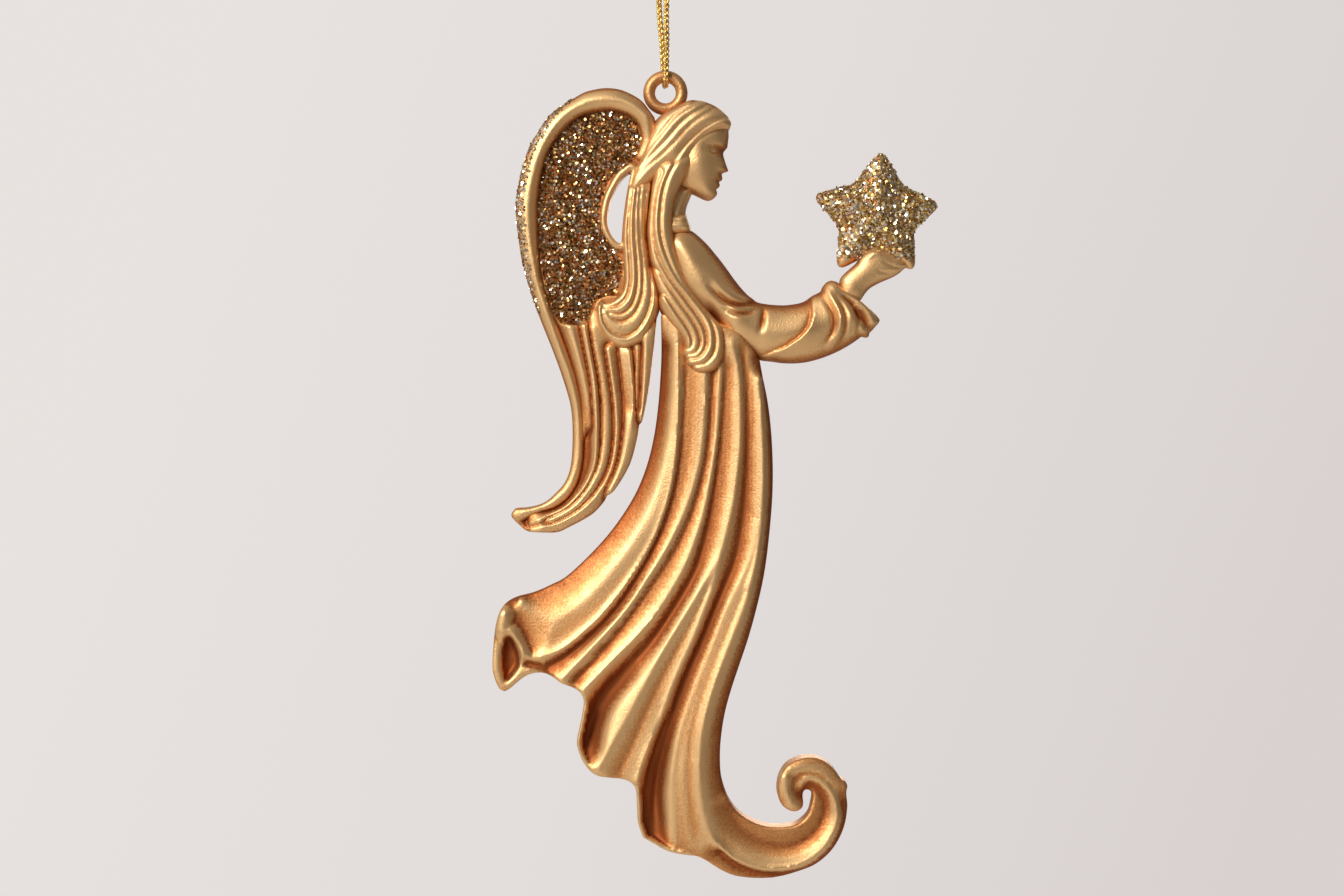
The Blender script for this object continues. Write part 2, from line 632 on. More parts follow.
# ---------------------------------------------------------------- arm
ARM_LOOP = outline(
    [
        (5.2, -24.6), (7, -26.2), (8.8, -28.3), (10.5, -30.5), (12.3, -33), (14, -35), (15.2, -36),
        (16.3, -36.7), (19, -37.1), (21.5, -37.1), (24, -36.6), (25.5, -35.6), (27, -34.8), (27.4, -34),
        (28.2, -33.1), (29, -32.8),
    ],
    [
        (30, -33.1), (31, -34), (33, -35.5), (34.5, -36.6), (36, -38), (37.2, -39.3), (37.4, -40),
        (36.6, -41), (35.9, -41.8),
    ],
    [(35.6, -42.1), (35.5, -42.7), (34.9, -42.8), (34.3, -42.6)],
    [
        (32.5, -43.9), (30, -45.3), (27, -46.5), (24, -47.2), (21, -47.3), (18.5, -47), (16.4, -46.7),
        (14.5, -45.7), (12.5, -44.8), (11, -44), (9.4, -42.6), (8.2, -40),
    ],
    [(2.5, -36), (0, -30), (-0.5, -25.5), (2, -23.6), (4.1, -23.9)],
)
# Creases and ridges of the sleeve: points, height and reach.
ARM_LINES = [
    ([(7, -33.2), (9, -35.4), (11.4, -37), (14, -37.3), (16, -36.6)], -0.8, 0.9),
    ([(8, -32.4), (10.2, -34.6), (12.6, -36), (15, -36.1)], 0.35, 0.9),
    ([(9.6, -37.2), (11.6, -38.5), (14.2, -38.7), (15.8, -38.2)], -0.65, 0.7),
    ([(10.4, -38), (13, -38), (15.4, -37.4)], 0.3, 0.7), ([(7, -36.5), (9.2, -40), (12, -42.3)], -0.45, 1),
    ([(17.1, -37.6), (16.9, -39.8), (16.3, -42.4)], -0.5, 0.9),
    ([(27.7, -34), (29.3, -36.6), (30.4, -39.3), (29.9, -42.4), (27.9, -45)], 0.5, 0.75),
    ([(27.2, -35.4), (28.4, -37.4), (29.3, -39.5), (28.9, -42), (27, -44.4)], -0.45, 0.8),
    ([(28.8, -34.7), (30.4, -37), (31.4, -39.4), (31, -42.2), (29.6, -44.6)], -0.35, 0.6),
    ([(28.8, -33.5), (30.6, -34.4), (33.6, -36.6), (36.6, -39.5)], 0.4, 0.9),
    ([(30.2, -35.2), (32.2, -36.8), (33.3, -38.6), (33.6, -40.4), (33.4, -42.6)], -0.5, 0.6),
    ([(32.9, -37.6), (34.2, -39.2), (35, -40.4), (35.6, -41.6)], -1, 1.35),
    ([(32.4, -35.2), (34.6, -37.1), (36.6, -39.2)], 0.35, 0.7),
]

ARM_EDGE, ARM_DEPTH = 1.2, 1.35
DRAPE_EDGE = [(25.5, -36.9), (25.4, -39.4), (24.2, -42), (21.1, -44.4), (17.9, -45.7)]


def sleeve():
    """Shoulder, forearm drape and cuff in one, because their folds run into each other."""
    grid, shape = grid_over(ARM_LOOP, step=0.2)
    peak = 4.8 - 0.7 * ease((grid.x - 11) / 6)
    height = grid.soft(ARM_EDGE + (peak - ARM_EDGE) * dome(shape, reach=5.6, low=0, high=1) ** 1.6, 0.5)
    for points, amount, wide in ARM_LINES:
        height = press(grid, height, points, ARM_DEPTH * amount, wide)
    height = overlap(grid, height, DRAPE_EDGE, step=0.85, reach=1.6)
    nodes = ["upper_sleeve", "forearm_sleeve", "sleeve_cuff"]
    relief("sleeve", grid, shape, grid.soft(height, reach=0.16), edge=0.8, nodes=nodes)


HAND_LOOP = outline(
    [
        (30.4, -33), (31.5, -31.4), (33.2, -29.9), (34.2, -28.4), (35.6, -27.2), (37.2, -26.9),
        (38.8, -27.6), (40.4, -28.6), (42, -29.4),
    ],
    [(42.4, -30.2), (41.6, -30.9), (40.8, -31.6), (39.6, -32.3), (37.1, -33.4), (35.4, -34.5), (34, -36.5)],
    [(30.6, -36.5)],
)


def hand():
    grid, shape = grid_over(HAND_LOOP, step=0.16)
    height = grid.soft(dome(shape, reach=2.6, low=0.6, high=2.25), reach=0.3)
    height = press(grid, height, [(37.6, -29.6), (39.6, -30.4), (41.4, -30.6)], amount=-0.3, wide=0.4)
    height = press(grid, height, [(36.6, -31.2), (38.6, -31.6), (40.2, -31.4)], amount=-0.22, wide=0.4)
    height = press(grid, height, [(34.8, -29.4), (36.4, -28.2), (38.2, -28.5)], amount=0.25, wide=0.8)
    relief("hand", grid, shape, grid.soft(height, reach=0.14), edge=0.6)


# ---------------------------------------------------------------- gown
GROOVE_LINE = [
    (13.4, -45), (14, -50), (14.2, -60), (14, -68), (13.3, -75), (12, -82), (9.5, -88), (6.4, -95.5),
    (3.3, -102.7), (0.6, -111), (-1, -118), (-2, -124), (-2.9, -130.6),
]
SKIRT_BACK = [
    (-0.7, -45), (-0.9, -50), (-1.3, -55), (-2, -60), (-3.2, -65), (-5.2, -70), (-8.3, -75), (-12, -79.5),
    (-17, -84.3), (-20, -86), (-23, -87.3), (-26, -88.1), (-28, -89.3), (-29, -91), (-29.7, -94),
    (-30.1, -100), (-29.6, -102.5), (-28.9, -104),
]
HEM_ONE = [
    (-28, -104.4), (-27, -103.9), (-25.5, -102.6), (-24, -101.6), (-22.5, -101.2), (-21, -101.3),
    (-19.5, -102), (-18, -103), (-16, -103.8), (-14.7, -104.6),
]
HEM_TWO = [
    (-14.2, -106), (-14.4, -108), (-14.9, -110.5), (-15.4, -113), (-15.1, -114.8), (-14.2, -116.8),
    (-13, -118.3), (-11.5, -119.1), (-9.5, -119.4), (-7.5, -119.6), (-6, -120.2), (-5.2, -121.3),
    (-5, -123), (-4.9, -125.5), (-4.7, -127.5), (-3.9, -129.8),
]
# Crests and grooves of the gown: points, and the half depth at the first and the last of them.
SKIRT_CRESTS = [
    ([
        (2, -40), (2.3, -50), (2.2, -55), (1.9, -62), (1, -68.8), (-0.5, -74), (-2.5, -78.8), (-5, -83),
        (-7.9, -87.2), (-11.3, -91.3), (-15.3, -95), (-18.7, -97.4), (-22.4, -98.6),
    ], 4.1, 4.3),
    ([
        (7, -49), (6.9, -54), (6.6, -60), (5.7, -65.9), (3.5, -73), (0.3, -79.5), (-3.6, -85.6),
        (-6.6, -90), (-10.4, -94.3), (-16.7, -101.1), (-18, -102.6),
    ], 4.1, 4),
    ([
        (9.5, -48), (9.2, -56), (8.7, -62), (7.1, -71.6), (5.3, -78), (2.9, -83.7), (-0.8, -89.8),
        (-4.7, -94.5), (-9.1, -98.9), (-13.1, -103), (-14.6, -104.6),
    ], 3.9, 4.2),
    ([
        (12.1, -70), (11.2, -75), (9.9, -79.5), (8, -83.5), (5.6, -87.5), (3.1, -91.5), (-0.5, -97.4),
        (-3.5, -103), (-7, -109.5), (-11.6, -117.6),
    ], 4.2, 4.3),
    ([
        (11.6, -44), (12.8, -50), (13, -60), (12.3, -68), (11.4, -73.1), (8.6, -84.5), (5.8, -93),
        (1.9, -101.9), (-1, -109.5), (-3.7, -116.1), (-4.9, -120),
    ], 4.2, 4.4),
]
SKIRT_GROOVES = [
    ([
        (3.3, -44), (3.5, -50), (3.3, -55), (2.8, -62), (1.9, -68), (0.5, -73), (-1.4, -78), (-4, -83),
        (-7.2, -88.2), (-10.5, -92.3), (-14.5, -96), (-18, -98.7), (-20.5, -100.2),
    ], 3.4, 2.2),
    ([
        (8.6, -47), (8, -54), (7.6, -60), (6.7, -66), (4.6, -73.2), (1.5, -80), (-2.4, -86), (-7.4, -93.2),
        (-12.5, -99.2), (-15.6, -102.6),
    ], 3.3, 2.8),
    ([
        (10.6, -48), (10.1, -55), (9.5, -62), (8.3, -71), (6.8, -78), (5.1, -83.6), (1.6, -89.8),
        (-2.2, -95.5), (-6.6, -100.4), (-11, -105.2), (-13, -110), (-13.9, -113.6),
    ], 3.4, 1.5),
    ([(7.6, -86), (4.3, -92.8), (0.7, -99.5), (-2.4, -105.9), (-5.3, -112.5), (-8.2, -118.6)], 3.9, 3.5),
    (GROOVE_LINE, 3.4, 1.5),
    ([(0.9, -108), (-1.6, -114.5), (-3.2, -120), (-3.6, -124.5), (-3.4, -129)], 2.6, 1.1),
    (SKIRT_BACK[:12], 1.3, 1.5), ([(-25.1, -88.6), (-25.2, -92), (-24.6, -95.5), (-23.7, -97.8)], 2.7, 2.4),
]
# Broad swellings and hollows of the gown: points, height and reach.
GOWN_SWELLS = [
    ([(0.4, -108), (-1.2, -116), (-1.9, -122), (-1.5, -127), (-0.8, -134)], -1.3, 2.4),
    ([(-5, -99), (-10.4, -105.4), (-12.6, -110.5), (-13.2, -118)], -1.5, 3),
    ([(1, -58), (-2, -71.5), (-5.3, -77.5), (-9.5, -82.5), (-15, -87.8), (-20.5, -91)], 0.4, 4),
]
HEM_ROLL_CREST = [(-27.9, -91.2), (-28.2, -94), (-26.8, -94.1), (-25.6, -96.2), (-24.4, -98.4)]
HOLLOW_LOOP = outline(
    [(-28.9, -97), (-29, -100), (-28.5, -102.4), (-27.9, -103.4)],
    [
        (-26.8, -102.6), (-25.6, -101.2), (-24.9, -99.8), (-25.1, -97.6), (-26, -95.5), (-27.2, -94.4),
        (-28.3, -95),
    ],
)


def hem_lip(grid, height, hem, level, wide=0.85):
    """A thin raised wall along the hem, where the cloth's thickness shows."""
    gap = grid.near(hem)[0]
    wall = level * ease((wide + 0.25 - gap) / 0.35)
    return np.maximum(height, np.where(gap < wide + 0.25, wall, 0))


TRAIN_FRONT = [
    (16.4, -46.7), (16.9, -49.5), (17.8, -54), (18.4, -59), (18.7, -65), (18.6, -71), (18, -78),
    (17.2, -84), (16, -89.5), (14.5, -95), (13, -99.5), (11.5, -104), (10.4, -108), (9.8, -111.5),
    (9.5, -115), (9.6, -118.5), (10.2, -121.3), (11.3, -123.8), (13, -125.8), (15.5, -127.3), (18, -128),
    (21, -128), (22.8, -127.6), (24.2, -126.6), (25, -125.5), (25.4, -124), (25.6, -122.7),
]
SCROLL_OUTER = [
    (25.4, -121.9), (24.7, -121.6), (24.1, -121.9), (23.9, -122.7), (24, -123.8), (23.8, -124.7),
    (22.8, -125.3), (21.5, -125.1), (20.3, -124.2), (19.6, -122.7), (19.5, -121), (20, -119),
    (21.2, -117.3), (23, -116.3), (25, -115.9), (26.5, -116.1), (28, -116.8), (29.5, -118.2),
    (30.6, -119.8), (31.2, -120), (31.7, -120.9), (31.5, -122.2), (31.7, -124.5), (31.3, -127.5),
    (30.2, -130.3), (28.5, -132.7), (26, -134.7), (23, -135.9), (20, -136.7), (17.5, -137), (14.5, -136.9),
    (12, -136.5), (10, -135.7), (8.5, -134.8), (7, -133.8), (5.5, -133.1),
]
TRAIN_HEM = [(4, -132.9), (2, -132.6), (0, -132), (-2, -130.9), (-3.9, -129.8)]
SCROLL_RIDGE = [
    (5.8, -117.2), (6.2, -123), (7.4, -128), (8.9, -130.6), (12.3, -133.5), (17.6, -135.1), (23.4, -134.4),
    (27.4, -131.7), (29.7, -127.4), (29.6, -123.9), (28, -121), (26.2, -119.7), (24.6, -119.5),
    (23.4, -120.6),
]
TRAIN_CRESTS = [
    ([
        (16.3, -50), (16.8, -60), (16.9, -70), (16, -80), (14, -88.5), (11.4, -95.5), (8.6, -102.7),
        (6.5, -110.3), (5.8, -117.2),
    ], 4.2, 4.5),
    (SCROLL_RIDGE, 4.5, 3.3),
    ([
        (16.3, -75), (15.2, -80), (13.2, -85), (10.5, -90.5), (8.2, -96.5), (5.4, -103.6), (2.8, -110.8),
        (1.3, -118.7), (1.6, -125.9), (2, -131),
    ], 4.1, 3.1),
    ([(20.9, -119.4), (21, -121.6), (21.9, -123.7)], 4, 3.7),
    ([(21.9, -118.2), (24, -117.6), (27, -118.2), (29.6, -120.8)], 3.6, 3),
]
TRAIN_GROOVES = [
    ([(13.6, -87), (10.6, -94), (7.6, -101.5), (5, -109), (3.9, -116), (4, -123), (4.8, -129.5)], 3.9, 3.5),
    (TRAIN_FRONT[:17], 2.6, 2.6),
    ([
        (11, -124.5), (13.5, -128.5), (17.5, -130.8), (22, -131.2), (25.6, -129.2), (27.6, -126),
        (27.6, -123), (26.2, -121.3), (24.8, -121), (24, -122.2),
    ], 2.7, 1.9),
    ([
        (9.4, -132.3), (12.8, -134.9), (17.8, -136.2), (24, -135.4), (28.6, -132.2), (31, -127.4),
        (31, -123.5),
    ], 2.1, 2.1),
]

# The faint ring that an ejector pin leaves; most of it is finer than the gown's grid.
MARK_PLACE, MARK_RADIUS, MARK_WIDTH, MARK_HEIGHT = (9.0, -131.2), 0.8, 0.28, 0.14
GOWN_LOOP = outline(
    SKIRT_BACK, HEM_ONE, HEM_TWO, TRAIN_HEM[::-1], SCROLL_OUTER[::-1], TRAIN_FRONT[::-1],
    [(13.0, -42.0)], [(4.0, -38.0)], [(-0.8, -38.9)],
)


def rolled_corner(grid, height):
    """The hem's lower left corner, rolled up round an almond-shaped hollow."""
    roll = grid.near(HEM_ROLL_CREST)[0]
    height = np.maximum(height, 4.1 - 0.45 * np.minimum(roll, 3) ** 2)
    hollow = grid.inside(HOLLOW_LOOP)
    floor = 4.0 - 3.0 * ease((hollow + 0.2) / 1.5)
    height = np.where(hollow > -0.2, np.minimum(height, floor), height)
    web = grid.near([(-24.2, -99.6), (-22.6, -99.9), (-21.0, -100.3)])[0]
    return np.where(web < 1.3, np.minimum(height, 2.5 + 1.2 * ease(web / 1.3)), height)


def gown():
    """Skirt, train and scroll in one, because the real folds run across their meeting lines."""
    grid, shape = grid_over(GOWN_LOOP, step=0.335)
    height = folds(grid, SKIRT_CRESTS + TRAIN_CRESTS, SKIRT_GROOVES + TRAIN_GROOVES)
    for swell in GOWN_SWELLS:
        height = press(grid, height, *swell)
    height = rolled_corner(grid, height)
    height = hem_lip(grid, height, HEM_TWO, level=3.5)
    height = hem_lip(grid, height, [(-18.6, -102.7), *HEM_ONE[-3:]], level=3.3)
    height = hem_lip(grid, height, TRAIN_HEM, level=3.4, wide=0.7)
    ring = np.abs(np.hypot(grid.x - MARK_PLACE[0], grid.z - MARK_PLACE[1]) - MARK_RADIUS)
    height += MARK_HEIGHT * ease(1 - ring / MARK_WIDTH)
    nodes = ["gown_skirt", "gown_train", "gown_scroll", "gown_hem_roll"]
    relief("gown", grid, shape, grid.soft(height, reach=0.18), edge=0.5, nodes=nodes)


# ---------------------------------------------------------------- eye and star
EYE_RING, EYE_BAR, EYE_DEEP = 2.85, 1.05, 1.4
STAR_TIPS = [(37.8, -10.7), (47.4, -19.6), (43.2, -30.7), (30.4, -30.4), (26.4, -18.1)]
STAR_NOTCHES = [(41.2, -16.6), (42.9, -23.9), (36.9, -26.9), (31, -23.2), (33.2, -16.4)]
STAR_CENTRE = (36.9, -21.0)
STAR_PEAK, STAR_SIDE, BARE_TIPS = 3.7, 0.75, -29.0
STAR_SOFT, STAR_SPREAD, STAR_EDGE = 0.7, 0.55, 0.8


def hanging_eye():
    around = 96 if COARSE == 1 else 48
    across = 32 if COARSE == 1 else 16
    points, faces = [], []
    for i in range(around):
        turn = 2 * math.pi * i / around
        for j in range(across):
            roll = 2 * math.pi * j / across
            reach = EYE_RING + EYE_BAR * math.cos(roll)
            place = (reach * math.sin(turn), EYE_DEEP * math.sin(roll), reach * math.cos(turn) + EYE_Z)
            points.append(place)
            j_next, i_next = (j + 1) % across, (i + 1) % around
            here, over = i * across, i_next * across
            faces.append((here + j, here + j_next, over + j_next, over + j))
    piece = new_mesh("hanging_eye", points, faces, FIGURE, "figure", ["hanging_eye"])
    paint_attribute(piece.data, "hollow", np.full(len(piece.data.vertices), -0.05))


def star_height(grid):
    """Ridges run from the middle to each tip, and the notches lie lower between them."""
    centre = np.array(STAR_CENTRE)
    top = np.array([*centre, STAR_PEAK])
    field = np.full(grid.x.shape, 1e9)
    for k, tip in enumerate(STAR_TIPS):
        for notch in (STAR_NOTCHES[k], STAR_NOTCHES[k - 1]):
            one = np.array([*tip, STAR_SIDE + 0.45])
            two = np.array([*notch, STAR_SIDE + 0.15])
            normal = np.cross(one - top, two - top)
            drop = normal[0] * (grid.x - centre[0]) + normal[1] * (grid.z - centre[1])
            plane = STAR_PEAK - drop / normal[2]
            field = np.minimum(field, np.where(between(grid, centre, tip, notch), plane, 1e9))
    return np.where(field > 1e8, STAR_SIDE, field)


def between(grid, centre, tip, notch):
    """Whether each place is in the wedge from the middle between a tip and a notch."""
    def side(point):
        return (point[0] - centre[0]) * (grid.z - centre[1]) - (point[1] - centre[1]) * (grid.x - centre[0])
    towards = (tip[0] - centre[0]) * (notch[1] - centre[1]) - (tip[1] - centre[1]) * (notch[0] - centre[0])
    return (side(tip) * towards >= 0) & (side(notch) * towards <= 0)


def star():
    """The star's body, its outline blurred and spread to round the corners, with its two glitter coats."""
    loop = np.array([corner for pair in zip(STAR_TIPS, STAR_NOTCHES) for corner in pair], float)
    grid = Grid(loop, step=0.18, margin=1.5)
    shape = grid.soft(grid.inside(loop), STAR_SOFT) + STAR_SPREAD
    height = grid.soft(np.clip(star_height(grid), STAR_SIDE, STAR_PEAK), 0.35)
    body = relief("star", grid, shape, height, edge=STAR_EDGE)
    darken(body, body_places(body)[:, 2] > BARE_TIPS, level=0.16)
    star_glitter(grid, height, shape)


# ---------------------------------------------------------------- glitter
# Flakes' thickness, and the least and greatest of their sizes as parts of the middle one.
FLAKE_THICK, FLAKE_SIZES, RIM_ROUNDING = 0.05, (0.75, 1.2), 0.6
HEX = [(math.cos(k * math.pi / 3), math.sin(k * math.pi / 3)) for k in range(6)]


def flakes(name, spots, normals, sizes, tilt, seed, slot, nodes):
    """Hexagonal glitter flakes laid on a surface, each a little tilted, as one mesh."""
    chance = np.random.default_rng(seed)
    count = len(spots)
    normals = normals + chance.normal(0, tilt, (count, 3))
    normals = unit(normals)
    help_axis = chance.normal(0, 1, (count, 3))
    side = np.cross(normals, help_axis)
    side = unit(side)
    other = np.cross(normals, side)
    points = np.empty((count, 12, 3))
    for k, (c, s) in enumerate(HEX):
        rim = spots + sizes[:, None] * (c * side + s * other)
        points[:, k] = rim + normals * FLAKE_THICK
        points[:, k + 6] = rim
    base = 12 * np.arange(count)[:, None]
    faces = [tuple(row) for row in base + np.arange(6)]
    for k in range(6):
        turn = (k + 1) % 6
        faces += [tuple(row) for row in base + np.array([k, k + 6, turn + 6, turn])]
    piece = new_mesh(name, points.reshape(-1, 3), faces, FIGURE, slot, nodes, smooth=False)
    tint = np.repeat(chance.random(count), 12)
    shine = np.repeat(chance.random(count), 12)
    paint_attribute(piece.data, "tint", tint)
    paint_attribute(piece.data, "shine", shine)


def scatter(area, pitch, chance):
    """Places on a jittered triangular net that covers a box (low x, low z, high x, high z)."""
    xs = np.arange(area[0], area[2], pitch)
    zs = np.arange(area[1], area[3], pitch * 0.866)
    x, z = np.meshgrid(xs, zs, indexing="ij")
    x = x + 0.5 * pitch * (np.arange(len(zs)) % 2)[None, :]
    spots = np.stack([x.ravel(), z.ravel()], 1)
    return spots + chance.uniform(-0.3, 0.3, spots.shape) * pitch


def sample(grid, field, spots):
    """A grid's value at each place."""
    i = np.clip(((spots[:, 0] - grid.low[0]) / grid.step).round().astype(int), 0, field.shape[0] - 1)
    k = np.clip(((spots[:, 1] - grid.low[1]) / grid.step).round().astype(int), 0, field.shape[1] - 1)
    return field[i, k]


def coat(name, grid, height, keep, side, pitch, size, tilt, seed, slot, nodes):
    """A coat of flakes on one face of a relief, where keep is above 0."""
    chance = np.random.default_rng(seed)
    area = (*grid.low, grid.x.max(), grid.z.max())
    spots = scatter(area, pitch * (1.5 if COARSE > 1 else 1), chance)
    spots = spots[sample(grid, keep, spots) > 0]
    slope_x, slope_z = np.gradient(height, grid.step)
    y = sample(grid, height, spots) + chance.uniform(-0.03, 0.16, len(spots))
    normals = np.stack([-sample(grid, slope_x, spots), np.ones(len(spots)), -sample(grid, slope_z, spots)], 1)
    normals[:, 1] *= side
    normals = unit(normals)
    places = np.stack([spots[:, 0], side * y, spots[:, 1] + EYE_Z], 1)
    sizes = size * chance.uniform(*FLAKE_SIZES, len(spots))
    flakes(name, places, normals, sizes, tilt, seed + 1, slot, nodes)


GLITTER_LOOP = outline(
    [
        (-21.6, -30), (-22.3, -22), (-21.6, -14), (-18.8, -7.6), (-14.5, -4.4), (-10.5, -3.4), (-7, -4),
        (-5.2, -5.4), (-4.5, -7.4), (-4.5, -10.3), (-6.6, -13),
    ],
    [(-9.2, -14.9), (-11.1, -18), (-11.4, -21.5), (-10.6, -25), (-8.6, -28), (-7.6, -29)],
    [(-7.6, -31.6), (-8.8, -35.6)],
    [
        (-10, -36.9), (-12.2, -36.6), (-13.5, -39.6), (-15.6, -40.6), (-18, -40.4), (-19.6, -38.4),
        (-20.7, -35),
    ],
)
EDGE_BAND = [
    (-16.5, -1.4), (-20, -4.1), (-22.4, -7.6), (-23.8, -10.1), (-25.3, -15), (-26, -20), (-25.6, -25),
    (-24.8, -30), (-23.4, -35), (-22.2, -38.5),
]
WALL_ROWS, WALL_HALF, WALL_FLAKE, WING_MIDDLE = 9, 2.3, 0.24, (-10.0, -20.0)


def wing_glitter(grid, height, shape):
    keep = np.minimum(grid.inside(GLITTER_LOOP), shape - 0.05)
    look = {"pitch": 0.4, "size": 0.23, "tilt": 0.55, "slot": "wing_glitter"}
    for side, name, seed in ((-1, "wing_glitter_front", 11), (1, "wing_glitter_back", 12)):
        coat(name, grid, height + 0.02, keep, side, seed=seed, nodes=[name], **look)


def shoulder(height, shape, radius):
    """A relief's height with the rounding of its outer edge."""
    inside = np.clip(shape, 0, radius)
    return height - radius + np.sqrt(np.clip(radius**2 - (radius - inside) ** 2, 0, radius**2))


def star_glitter(grid, height, shape):
    keep = np.minimum(shape - 0.02, grid.z - BARE_TIPS + 0.5 * np.sin(grid.x * 3))
    top = shoulder(height, shape, STAR_EDGE)
    look = {"pitch": 0.4, "size": 0.3, "tilt": 0.5, "slot": "star_glitter"}
    for side, name, seed in ((-1, "star_glitter_front", 21), (1, "star_glitter_back", 22)):
        coat(name, grid, top, keep, side, seed=seed, nodes=[name], **look)


def edge_glitter(grid, height):
    """Flakes on the outer slope of the wing's rim and on the wall beside it."""
    shape = grid.inside(WING_LOOP)
    gap, along = grid.near(EDGE_BAND)
    wide = 1.75 * arch(along) ** 0.4
    keep = np.minimum(wide - gap, shape - 0.12)
    top = shoulder(height, shape, RIM_ROUNDING)
    look = {"pitch": 0.44, "size": 0.24, "tilt": 0.4, "slot": "wing_glitter"}
    chance = np.random.default_rng(30)
    for side in (-1, 1):
        name = "wing_edge_glitter" if side < 0 else "wing_edge_glitter_back"
        nodes = ["wing_edge_glitter"] if side < 0 else []
        thin = keep - 0.9 * ease(gap / 1.8) * chance.random(keep.shape)
        coat(name, grid, top, thin, side, seed=33 + side, nodes=nodes, **look)
    wall_glitter()


def wall_glitter():
    """Flakes on the wing's outer wall."""
    chance = np.random.default_rng(31)
    line = curve(EDGE_BAND, 40)
    ahead = unit(np.gradient(line, axis=0))
    pick = np.repeat(np.arange(0, len(line), 2 if COARSE == 1 else 4), WALL_ROWS)
    y = chance.uniform(-WALL_HALF, WALL_HALF, len(pick))
    out = np.stack([ahead[pick, 1], -ahead[pick, 0]], 1)
    out *= np.sign(np.sum(out * (line[pick] - np.array(WING_MIDDLE)), 1))[:, None]
    spots = line[pick] - out * 0.02 + chance.normal(0, 0.03, (len(pick), 2))
    normals = np.stack([out[:, 0], np.zeros(len(pick)), out[:, 1]], 1)
    places = np.stack([spots[:, 0], y, spots[:, 1] + EYE_Z], 1)
    sizes = WALL_FLAKE * chance.uniform(*FLAKE_SIZES, len(pick))
    flakes("wing_wall_glitter", places, normals, sizes, tilt=0.3, seed=32, slot="wing_glitter", nodes=[])


# ---------------------------------------------------------------- cord and knot
STRAND, STRAND_COUNT, STRAND_SWING = 0.25, 3, 0.28
ROUTE = [
    (-0.5, 0, 3), (-1.3, 0.1, -3), (-1.1, 0.5, -10), (-0.6, 0.9, -15), (-0.4, 2.1, -19), (-0.1, 2.1, -22.8),
    (0.1, -2.1, -22.8), (0.15, -2.1, -19), (0.25, -0.9, -15), (0.1, -0.5, -10), (0.4, -0.1, -3),
    (0.5, 0, 3),
]
KNOT_Z, TAIL_TOP = 3.2, 7.0


def smooth_line(route):
    """Points along the NURBS line whose control points are the route's, in metres."""
    data = bpy.data.curves.new("cord_route", "CURVE")
    data.dimensions = "3D"
    data.resolution_u = 48
    spline = data.splines.new("NURBS")
    spline.points.add(len(route) - 1)
    for point, place in zip(spline.points, route):
        point.co = (*(MM * value for value in place), 1.0)
    spline.order_u = 3
    spline.use_endpoint_u = True
    holder = put("cord_route", data)
    bpy.context.view_layer.update()
    mesh = bpy.data.meshes.new_from_object(holder)
    line = np.array([tuple(v.co) for v in mesh.vertices]) / MM
    bpy.data.meshes.remove(mesh)
    bpy.data.objects.remove(holder)
    bpy.data.curves.remove(data)
    return line


def even_line(line, pitch):
    """The line measured out in even steps, with its directions."""
    steps = np.linalg.norm(np.diff(line, axis=0), axis=1)
    run = np.concatenate([[0], np.cumsum(steps)])
    marks = np.arange(0, run[-1], pitch)
    points = np.stack([np.interp(marks, run, line[:, axis]) for axis in range(3)], 1)
    ahead = unit(np.gradient(points, axis=0))
    return points, ahead, marks


def frames(ahead):
    """Side directions that turn along the line without twisting."""
    side = np.empty_like(ahead)
    current = np.cross(ahead[0], (0.3, 1.0, 0.2))
    for k, direction in enumerate(ahead):
        current = current - direction * np.dot(current, direction)
        current /= np.linalg.norm(current)
        side[k] = current
    return side, np.cross(ahead, side)


def tube(points, ahead, radius, sides):
    """Vertices and faces of a round tube with closed ends."""
    side, other = frames(ahead)
    turns = 2 * np.pi * np.arange(sides) / sides
    cos, sin = np.cos(turns)[None, :, None], np.sin(turns)[None, :, None]
    ring = cos * side[:, None] + sin * other[:, None]
    vertices = (points[:, None] + radius * ring).reshape(-1, 3)
    faces = []
    for k in range(len(points) - 1):
        for j in range(sides):
            a, b = k * sides + j, k * sides + (j + 1) % sides
            faces.append((a, b, b + sides, a + sides))
    faces.append(tuple(range(sides))[::-1])
    faces.append(tuple(range(len(vertices) - sides, len(vertices))))
    return vertices, faces


def joined(parts):
    """Several parts' vertices and faces as one."""
    vertices, faces = [], []
    for some, more in parts:
        shift = sum(len(v) for v in vertices)
        faces += [tuple(i + shift for i in face) for face in more]
        vertices.append(some)
    return np.vstack(vertices), faces


def braid(line, pitch=3.0):
    """Strands plaited round a line: each swings side to side and passes over and under."""
    points, ahead, marks = even_line(line, 0.16 * COARSE)
    side, other = frames(ahead)
    parts = []
    for k in range(STRAND_COUNT):
        phase = 2 * np.pi * (marks / pitch + k / STRAND_COUNT)
        swing = STRAND_SWING * np.cos(phase)[:, None] * side
        path = points + (swing + STRAND_SWING * np.sin(2 * phase)[:, None] * other * 0.62)
        run = unit(np.gradient(path, axis=0))
        parts.append(tube(path, run, STRAND, 8 if COARSE == 1 else 6))
    return joined(parts)


def hanging_cord():
    """The cord from its end in the knot, through the eye and back, and its middle line."""
    line = smooth_line(ROUTE)
    vertices, faces = braid(line[line[:, 2] <= KNOT_Z])
    piece = new_mesh("cord_braid", vertices, faces, HANGER, "cord", ["hanging_cord"])
    return piece, line


def knot_line():
    """A closed trefoil, which stands for the knot."""
    turns = np.linspace(0, 2 * np.pi, 60)
    x = (np.sin(turns) + 2 * np.sin(2 * turns)) * 0.36
    z = (np.cos(turns) - 2 * np.cos(2 * turns)) * 0.36
    y = -np.sin(3 * turns) * 0.62
    return np.stack([x, y, z + KNOT_Z], 1)


